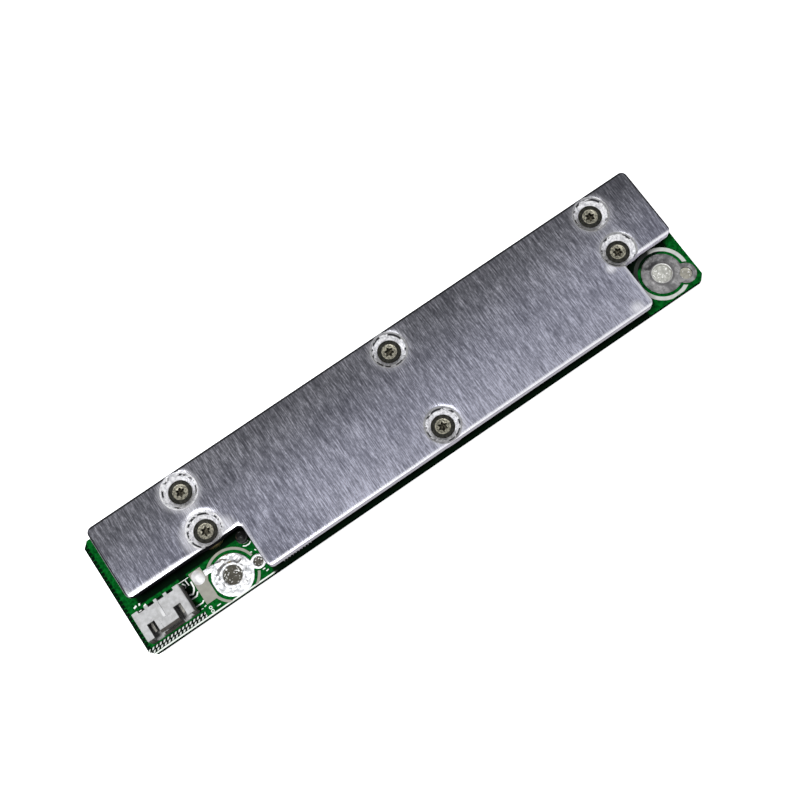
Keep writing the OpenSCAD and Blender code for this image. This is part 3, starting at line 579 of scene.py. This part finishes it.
# A dull skin left in a wire hole, with bright specks.
def skinSurface(name, colour, speck, amount):
    s = Surface(name, colour, 0.6)
    s.feed("Specular IOR Level", 0.1)
    grain = s.cloud(s.place(), 1.5, 4, 0.6)
    drops = s.cloud(s.place(shift=(2, 5, 1)), 2.7, 2, 0.5)
    base = s.mix(grain.rise(0.35, 0.65), [c * 0.65 for c in colour], colour)
    s.feed("Base Color", s.mix(drops.rise(amount, amount + 0.05), base, speck))
    s.bump(grain + drops, 0.1)
    return s.material


def plasticSurface(name, colour, roughness=0.5, grainScale=4.0, depth=0.01):
    s = Surface(name, colour, roughness)
    s.feed("Specular IOR Level", 0.25)
    grain = s.cloud(s.place(), grainScale, 4, 0.6)
    s.feed("Base Color", s.mix(grain.rise(0.3, 0.75), [c * 0.85 for c in colour], colour))
    s.feed("Roughness", roughness - 0.08 + 0.16 * grain)
    s.bump(grain, depth)
    return s.material


def metalSurface(name, colour, roughness=0.3, grainScale=2.0, depth=0.02, dark=0.7, metallic=1.0):
    s = Surface(name, colour, roughness, metallic)
    grain = s.cloud(s.place(), grainScale, 4, 0.6)
    s.feed("Base Color", s.mix(grain.rise(0.3, 0.7), [c * dark for c in colour], colour))
    s.feed("Roughness", roughness - 0.08 + 0.2 * grain)
    s.bump(grain, depth)
    return s.material


def finish(name, bm, surfaces, replaces=None, smooth=35):
    mesh = bpy.data.meshes.new(name)
    bm.to_mesh(mesh)
    bm.free()
    for surface in surfaces:
        mesh.materials.append(surface)
    piece = bpy.data.objects.new(name, mesh)
    bpy.context.scene.collection.objects.link(piece)
    shadeByAngle(mesh, smooth)
    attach(piece, "root")
    if replaces:
        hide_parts(*replaces)
    return piece


def shadeByAngle(mesh, angle):
    mesh.shade_smooth()
    mesh.set_sharp_from_angle(angle=math.radians(angle))


# Rings stacked outwards or inwards: each is a radius and a height in millimetres, and some
# have the depth of six lobes.
def ringStack(bm, rings, at=(0, 0), steps=64, closeLast=False):
    first = rings[0]
    made = bmesh.ops.create_circle(bm, cap_ends=False, segments=steps, radius=first[0] * mm,
                                   matrix=Matrix.Translation((at[0] * mm, at[1] * mm, first[1] * mm)))
    verts = made["verts"]
    edges = list({e for v in verts for e in v.link_edges})
    faces = []
    for ring in rings[1:]:
        out = bmesh.ops.extrude_edge_only(bm, edges=edges)["geom"]
        verts = [g for g in out if isinstance(g, bmesh.types.BMVert)]
        edges = [g for g in out if isinstance(g, bmesh.types.BMEdge)]
        faces.append([g for g in out if isinstance(g, bmesh.types.BMFace)])
        depth = ring[2] if len(ring) > 2 else 0
        for v in verts:
            angle = math.atan2(v.co.y - at[1] * mm, v.co.x - at[0] * mm)
            reach = (ring[0] + depth * math.cos(6 * angle)) * mm
            v.co = Vector((at[0] * mm + reach * math.cos(angle),
                           at[1] * mm + reach * math.sin(angle), ring[1] * mm))
    if closeLast:
        faces.append(bmesh.ops.edgeloop_fill(bm, edges=edges)["faces"])
    return faces


def applyModifiers(piece):
    graph = bpy.context.evaluated_depsgraph_get()
    mesh = bpy.data.meshes.new_from_object(piece.evaluated_get(graph))
    piece.modifiers.clear()
    piece.data = mesh


dimple = {
    # radius, and height over the face: the dish and the lip of the countersink
    "shoulder": [(4.3, 0.0), (4.1, -0.008), (3.8, -0.04), (3.55, -0.09), (3.4, -0.16), (3.3, -0.25)],
    "bore": 1.4, "boss": 0.9, "bossTop": 4.0, "bossRound": 0.12,
}
pole = 0.02  # the radius that a turned shape starts and ends with


# The plate's outline as one face with round corners, at a height in millimetres.
def plateOutline(bm, height):
    p = plate
    corners = [
        (p["left"], p["notchY"]), (p["notchLeft"], p["notchY"]), (p["notchLeft"], p["front"]),
        (p["notchRight"], p["front"]), (p["notchRight"], p["notchY"]), (p["right"], p["notchY"]),
        (p["right"], p["rear"]), (p["left"], p["rear"])]
    verts = [bm.verts.new((x * mm, y * mm, height * mm)) for x, y in corners]
    bm.faces.new(verts)
    inner = [verts[1], verts[4]]
    outer = [v for v in verts if v not in inner]
    bmesh.ops.bevel(bm, geom=outer, offset=p["corner"] * mm, offset_type="OFFSET", affect="VERTICES",
                    segments=8, profile=0.5, material=-1)
    inner = [v for v in bm.verts if any((v.co.xy - Vector(c) * mm).length < 0.01 * mm
                                        for c in (corners[1], corners[4]))]
    bmesh.ops.bevel(bm, geom=inner, offset=p["innerCorner"] * mm, offset_type="OFFSET",
                    affect="VERTICES", segments=6, profile=0.5, material=-1)
    return bm.faces[:][0]


def pullDown(bm, face, depth):
    down = bmesh.ops.extrude_face_region(bm, geom=[face])["geom"]
    bmesh.ops.translate(bm, verts=[g for g in down if isinstance(g, bmesh.types.BMVert)],
                        vec=(0, 0, -depth * mm))
    bmesh.ops.recalc_face_normals(bm, faces=bm.faces[:])


def plateBlank():
    bm = bmesh.new()
    p = plate
    wallTop = p["top"] - p["roll"][0][1]
    pullDown(bm, plateOutline(bm, wallTop), wallTop - p["under"])
    face = max(bm.faces, key=lambda f: f.calc_center_median().z)
    for (before, _), (inset, drop) in zip(p["roll"], p["roll"][1:]):
        bmesh.ops.inset_region(bm, faces=[face], thickness=(inset - before) * mm,
                               use_even_offset=True)
        for v in face.verts:
            v.co.z = (p["top"] - drop) * mm
    rim = [e for e in bm.edges if all(abs(v.co.z - p["under"] * mm) < 1e-7 for v in e.verts)]
    bmesh.ops.bevel(bm, geom=rim, offset=p["underEdge"] * mm, offset_type="OFFSET", affect="EDGES",
                    segments=2, profile=0.5, material=-1)
    return bm


# What is cut out of the plate at the screws, or else what is pressed out below it.
def dimpleTool(inside):
    bm = bmesh.new()
    top, under = plate["top"], plate["under"]
    for x, y in screwPlaces:
        if inside:
            widest = dimple["shoulder"][0][0]
            coneTop, coneHeight = dimple["shoulder"][-1]
            coneEnd = coneHeight - (coneTop - dimple["bore"])
            rings = [(pole / 2, top + 1), (widest, top + 1)] + [(r, top + h) for r, h in dimple["shoulder"]]
            rings += [(dimple["bore"], top + coneEnd), (dimple["bore"], under - 2), (pole / 2, under - 2)]
        else:
            wide, low, curve = dimple["bossTop"], under - dimple["boss"], dimple["bossRound"]
            foot = wide - dimple["boss"]
            rings = [(pole / 2, under + 0.3), (wide, under + 0.3), (wide, under),
                     (foot + curve, low + curve), (foot - 0.1, low), (pole / 2, low)]
        ringStack(bm, rings, (x, y), 72, closeLast=True)
        bmesh.ops.edgeloop_fill(bm, edges=[e for e in bm.edges if e.is_boundary])
    bmesh.ops.recalc_face_normals(bm, faces=bm.faces[:])
    tool = loose("tool", bm)
    if not inside:  # the bosses end at the plate's sides
        slab = bmesh.new()
        pullDown(slab, plateOutline(slab, top - 0.5), 4)
        combine(tool, loose("slab", slab), "INTERSECT")
    return tool


def loose(name, bm):
    mesh = bpy.data.meshes.new(name)
    bm.to_mesh(mesh)
    bm.free()
    piece = bpy.data.objects.new(name, mesh)
    bpy.context.scene.collection.objects.link(piece)
    return piece


# Joins, cuts or crosses a piece with a tool, which is then gone.
def combine(piece, tool, operation):
    cut = piece.modifiers.new("cut", "BOOLEAN")
    cut.operation = operation
    cut.object = tool
    cut.solver = "EXACT"
    cut.use_self = True
    bpy.context.view_layer.update()
    applyModifiers(piece)
    bpy.data.objects.remove(tool)


def makePlate(surface, cutSurface, sideSurface):
    piece = finish("heatPlate", plateBlank(), [surface, cutSurface, sideSurface], ["heat_plate"])
    combine(piece, dimpleTool(False), "UNION")
    combine(piece, dimpleTool(True), "DIFFERENCE")
    lip = dimple["shoulder"][-3][0] * mm
    wallTop = (plate["top"] - plate["roll"][2][1]) * mm
    # slanting faces at a screw are freshly cut, and all below the rolled edge is sawn
    for face in piece.data.polygons:
        centre = face.center
        near = min((centre.xy - Vector(at) * mm).length for at in screwPlaces)
        if near < lip and 0.1 < face.normal.z < 0.95 and centre.z > plate["under"] * mm:
            face.material_index = 1
        elif centre.z < wallTop and near > dimple["bore"] * mm + 1e-5:
            face.material_index = 2
    shadeByAngle(piece.data, 30)
    flat = piece.modifiers.new("flatFaces", "WEIGHTED_NORMAL")
    flat.keep_sharp = True
    return piece


screw = {
    "head": screwHead, "headTop": 10.03, "cup": 1.34, "drive": 0.72, "lobe": 0.17, "driveDepth": 1.0,
    "thread": 1.25, "bottom": 0.03, "tipChamfer": 0.25, "cone": 1.0, "headEdge": 0.04, "cupEdge": 0.12,
}


def makeScrews(rim, middle, dark):
    bm = bmesh.new()
    top = screw["headTop"]
    turns = random.Random(4)
    for x, y in screwPlaces:
        # from the tip up the thread, over the head and down into the drive
        tip, edge = screw["tipChamfer"], screw["headEdge"]
        rings = [
            (pole, screw["bottom"]), (screw["thread"] - tip, screw["bottom"]),
            (screw["thread"], screw["bottom"] + tip), (screw["thread"], top - screw["cone"]),
            (screw["head"] - edge, top - edge), (screw["head"] - 2.5 * edge, top),
            (screw["cup"] + screw["cupEdge"], top), (screw["cup"], top - 0.03),
            (screw["cup"] - 0.25, top - 0.14),
            (screw["drive"] + 0.3, top - 0.2), (screw["drive"] + 0.07, top - 0.23, screw["lobe"]),
            (screw["drive"], top - 0.3, screw["lobe"]),
            (screw["drive"] - 0.03, top - 0.23 - screw["driveDepth"], screw["lobe"]),
            (0.3, top - 0.35 - screw["driveDepth"])]
        before = set(bm.faces)
        beforeVerts = set(bm.verts)
        faces = ringStack(bm, rings, (x, y), 72, closeLast=True)
        bmesh.ops.edgeloop_fill(bm, edges=[e for e in bm.edges if e.is_boundary])
        for ring in faces[6:10]:
            for f in ring:
                f.material_index = 1
        for ring in faces[10:]:
            for f in ring:
                f.material_index = 2
        verts = [v for v in bm.verts if v not in beforeVerts]
        bmesh.ops.rotate(bm, verts=verts, cent=(x * mm, y * mm, 0),
                         matrix=Matrix.Rotation(turns.uniform(0, math.pi / 3), 3, "Z"))
    bmesh.ops.recalc_face_normals(bm, faces=bm.faces[:])
    return finish("plateScrews", bm, [rim, middle, dark], ["plate_screws"], 30)


tinning = {
    "voxel": 0.1, "smooth": 3, "lipAt": 2.15, "lipWidth": 0.4, "lip": 0.14,
    "lumpScale": 0.9, "rimAt": 3.95, "rimWidth": 0.5, "skinDepth": 0.3, "skinGap": 0.02,
}


# The tinned face flows: the plain shape is remeshed, smoothed and its top made uneven.
def makeTinned(name, source, at, seed, height, surface):
    t = tinning
    bm = bmesh.new()
    bm.from_mesh(nodes[source].data)
    bmesh.ops.remove_doubles(bm, verts=bm.verts[:], dist=1e-6)
    piece = loose(name + "Shape", bm)
    remesh = piece.modifiers.new("remesh", "REMESH")
    remesh.mode = "VOXEL"
    remesh.voxel_size = t["voxel"] * mm
    bpy.context.view_layer.update()
    applyModifiers(piece)
    bm = bmesh.new()
    bm.from_mesh(piece.data)
    bpy.data.objects.remove(piece)
    for _ in range(t["smooth"]):
        bmesh.ops.smooth_vert(bm, verts=bm.verts[:], factor=0.5, use_axis_x=True, use_axis_y=True,
                              use_axis_z=True)
    for v in bm.verts:
        place = v.co / mm
        if place.z < board["top"] + 0.1:
            continue
        away = (place.xy - Vector(at)).length
        lip = t["lip"] * math.exp(-((away - t["lipAt"]) / t["lipWidth"]) ** 2)
        spot = Vector((place.x * t["lumpScale"] + seed, place.y * t["lumpScale"], 0))
        lump = height * (noise.noise(spot) + 0.4 * noise.noise(spot * 2.3))
        inside = min(1, max(0, (t["rimAt"] - away) / t["rimWidth"]))
        v.co.z += (lip + lump * inside) * mm
    return finish(name, bm, [surface], [source], 60)


# A thin skin of solder across a wire hole.
def makeSkin(name, at, bore, surface):
    bm = bmesh.new()
    radius = bore - tinning["skinGap"]
    height = board["top"] - tinning["skinDepth"]
    ringStack(bm, [(pole, height), (radius * 0.35, height + 0.03), (radius * 0.7, height - 0.02),
                   (radius, height + 0.05), (radius, height - 0.15), (pole, height - 0.12)], at, 48)
    bmesh.ops.holes_fill(bm, edges=[e for e in bm.edges if e.is_boundary])
    bmesh.ops.recalc_face_normals(bm, faces=bm.faces[:])
    return finish(name, bm, [surface])


# Printed lines in groups, each group beside a piece: the corner or middle of that piece, and then
# the width and the points of each line from there, in millimetres.
prints = [
    ((header["left"], header["rear"]), [
        (0.34, [(0.35, 1.75), (0.95, 1.95)]), (0.3, [(1.45, 1.65), (1.65, 2.05)]),
        (0.28, [(2.05, 1.05), (2.55, 1.25)]), (0.16, [(0.85, 0.75), (1.35, 0.75)])]),
    ((header["right"], header["rear"]), [
        (0.28, [(0.05, -2.89), (1.15, -2.91), (1.75, -2.3)]),
        (0.28, [(0.05, -4.51), (1.4, -4.53), (1.8, -4.25)]),
        (0.3, [(0.1, -2.0), (0.8, -2.2), (1.25, -1.8), (1.55, -1.25), (1.65, -0.05)]),
        (0.24, [(0.1, 0.5), (0.45, -0.05), (0.25, -0.55)]), (0.12, [(-1.65, 0.9), (1.65, 0.9)]),
        (0.22, [(0.9, 0.75), (1.0, -0.45)]), (0.16, [(-0.25, -5.45), (0.15, -5.45)]),
        (0.16, [(0.55, -5.45), (0.95, -5.45)]), (0.16, [(1.3, -5.35), (1.7, -5.3)]),
        (0.18, [(3.3, -6.55), (4.05, -6.55)])]),
    (leftSmall, [
        (0.22, [(-0.85, 4.0), (-0.4, 3.7), (0.35, 3.67), (0.8, 3.95)]),
        (0.2, [(-0.55, 2.25), (-0.05, 2.15)]), (0.2, [(0.55, 2.25), (0.75, 1.95)]),
        (0.2, [(-0.15, -1.75), (0.35, -1.75)]), (0.2, [(0.25, -2.35), (0.75, -2.25)])]),
]
printedRings = [(header["right"] + x, header["rear"] + y) for x, y in ((2.15, -6.1), (2.15, -6.85))]
printing = {"height": 0.03, "ring": 0.32, "ringHole": 0.18}


# Each line is drawn out from point to point as a flat band and then gets its thickness.
def makePrints(surface):
    bm = bmesh.new()
    low = board["top"] * mm
    lines = [(width, [Vector((where[0] + x, where[1] + y)) for x, y in points])
             for where, group in prints for width, points in group]
    for width, path in lines:
        borders = []
        for i, at in enumerate(path):
            along = (path[min(i + 1, len(path) - 1)] - path[max(i - 1, 0)]).normalized()
            across = Vector((-along.y, along.x)) * width / 2
            borders.append([Vector((*(at + across), 0)) * mm, Vector((*(at - across), 0)) * mm])
        start = [bm.verts.new(v + Vector((0, 0, low))) for v in borders[0]]
        edge = bm.edges.new(start)
        faces = []
        for pair in borders[1:]:
            out = bmesh.ops.extrude_edge_only(bm, edges=[edge])["geom"]
            moved = [g for g in out if isinstance(g, bmesh.types.BMVert)]
            edge = [g for g in out if isinstance(g, bmesh.types.BMEdge)
                    and all(v in moved for v in g.verts)][0]
            faces += [g for g in out if isinstance(g, bmesh.types.BMFace)]
            for v, old in zip(sorted(moved, key=lambda m: (m.co - start[0].co).length), pair):
                v.co = old + Vector((0, 0, low))
            start = sorted(moved, key=lambda m: (m.co.xy - pair[0].xy).length)
        up = bmesh.ops.extrude_face_region(bm, geom=faces)["geom"]
        bmesh.ops.translate(bm, verts=[g for g in up if isinstance(g, bmesh.types.BMVert)],
                            vec=(0, 0, printing["height"] * mm))
    for at in printedRings:
        top = board["top"] + printing["height"]
        ringStack(bm, [(printing["ringHole"], board["top"]), (printing["ringHole"], top),
                       (printing["ring"], top), (printing["ring"], board["top"])], at, 20)
    bmesh.ops.recalc_face_normals(bm, faces=bm.faces[:])
    return finish("boardPrints", bm, [surface])


# A CAD node gets softer edges by modifiers, its own mesh stays.
def soften(name, width, surface, segments=2):
    node = nodes[name]
    weld = node.modifiers.new("weld", "WELD")
    weld.merge_threshold = 1e-6
    flat = node.modifiers.new("flat", "DECIMATE")
    flat.decimate_type = "DISSOLVE"
    flat.angle_limit = math.radians(1)
    if width:
        edge = node.modifiers.new("edge", "BEVEL")
        edge.width = width * mm
        edge.segments = segments
        edge.limit_method = "ANGLE"
        edge.angle_limit = math.radians(40)
    dress(name, surface)


def dress(name, surface):
    node = nodes[name]
    node.data.materials.clear()
    node.data.materials.append(surface)


print("camera and lamps")
addCamera(cameraSettings)
for name, settings in lamps.items():
    addLamp(name, settings)
addRoom(room)

print("surfaces")
aluminium = plateSurface()
freshCutAndSheen = sinkSurface()
sawnAndShaded = sideSurface()
mask = boardSurface()
# one plated steel in three tones: the rim is painted dark as a reflection, the drive dark as painted shade
# in its recess
screwRim = screwSurface("screwRim", (0.04, 0.04, 0.035), 0.4)
screwCup = screwSurface("screwCup", (0.4, 0.385, 0.31), 0.25, 0.35, 2.3)
screwDark = screwSurface("screwDrive", (0.13, 0.12, 0.09), 0.4, 0.06, 2.6)
nylon = headerSurface()
tin = metalSurface("pinTin", (0.38, 0.37, 0.34), 0.45)
solder = metalSurface("brightSolder", (0.93, 0.93, 0.94), 0.35, 1.2, 0.05, 0.9, 0.4)
tinnedLeft = tinnedSurface("tinnedLeft", leftTerminal, (0.8, 0.82, 0.86), (0.97, 0.97, 0.99),
                           dentShade=0.7, rough=0.22, depth=0.12, shadeAndRimLight=0.2)
tinnedRight = tinnedSurface("tinnedRight", rightTerminal, (0.16, 0.16, 0.165), (0.33, 0.325, 0.33),
                            dentShade=0.5, rough=0.32, depth=0.12, shadeAndRimLight=0.8)
# the skin in the left holes is painted dark for the shade inside them
skinLeft = skinSurface("skinLeft", (0.085, 0.08, 0.066), (0.8, 0.8, 0.78), 0.6)
skinRight = skinSurface("skinRight", (0.5, 0.5, 0.46), (0.85, 0.85, 0.83), 0.6)
skinSmall = skinSurface("skinSmall", (0.4, 0.385, 0.33), (0.8, 0.8, 0.78), 0.62)
ink = plasticSurface("whitePrint", (0.93, 0.95, 0.93), 0.6, 2.0)
bare = plasticSurface("bareLand", (0.34, 0.335, 0.295), 0.6, 1.1, 0.03)
paleRing = ringSurface()
epoxy = plasticSurface("blackEpoxy", (0.02, 0.02, 0.022), 0.45, 6.0)
bead = plasticSurface("beadEpoxy", (0.01, 0.01, 0.01), 0.15, 1.5, 0.03)
zinc = metalSurface("nutZinc", (0.62, 0.63, 0.65), 0.35)
fibre = plasticSurface("washerFibre", (0.3, 0.07, 0.04), 0.7, 5.0, 0.02)
brass = metalSurface("spacerBrass", (0.78, 0.6, 0.3), 0.3)
lead = metalSurface("leadTin", (0.6, 0.6, 0.62), 0.4)
pad = plasticSurface("gapPad", (0.3, 0.34, 0.38), 0.8, 3.0, 0.02)
ceramic = plasticSurface("ceramic", (0.35, 0.24, 0.14), 0.5)

print("heat plate and screws")
makePlate(aluminium, freshCutAndSheen, sawnAndShaded)
makeScrews(screwRim, screwCup, screwDark)

print("board and fittings")
dress("circuit_board", mask)
for name, width, surface in (
        ("header_shell", 0.07, nylon), ("plate_nuts", 0.1, zinc), ("insulating_washers", 0.05, fibre),
        ("plate_spacers", 0.05, brass), ("gap_pad_1", 0.05, pad), ("gap_pad_2", 0.05, pad),
        ("monitor_chip", 0.04, epoxy), ("surge_diode", 0.05, epoxy)):
    soften(name, width, surface)
for name in nodes:
    if name.startswith("header_pin"):
        soften(name, 0.05, tin)
    elif name.startswith("mosfet_body"):
        soften(name, 0.1, epoxy)
    elif name.startswith("mosfet_frame"):
        soften(name, 0.06, lead)
    elif name.startswith("shunt") or name.startswith("bleed_transistor"):
        soften(name, 0.04, epoxy)
    elif name.startswith("bleed_resistor"):
        soften(name, 0.03, epoxy)
    elif name.startswith("filter_capacitor"):
        soften(name, 0.03, ceramic)
makeTinned("tinnedLeftFace", "terminal_left", leftTerminal, seed=3.0, height=0.16, surface=tinnedLeft)
makeTinned("tinnedRightFace", "terminal_right", rightTerminal, seed=11.0, height=0.1, surface=tinnedRight)
makeSkin("leftHoleSkin", leftTerminal, leftBore, skinLeft)
makeSkin("rightHoleSkin", rightTerminal, rightBore, skinRight)
makeSkin("leftSmallSkin", leftSmall, leftSmallBore, skinLeft)
makeSkin("rightSmallSkin", rightSmall, rightSmallBore, skinSmall)
makePrints(ink)
for name, surface in (
        ("land_left", bare), ("land_right", paleRing), ("solder_blob", solder), ("solder_joints", solder),
        ("temperature_bead", bead), ("monitor_legs", lead)):
    dress(name, surface)

bpy.context.scene.view_settings.view_transform = "Standard"
print("done")
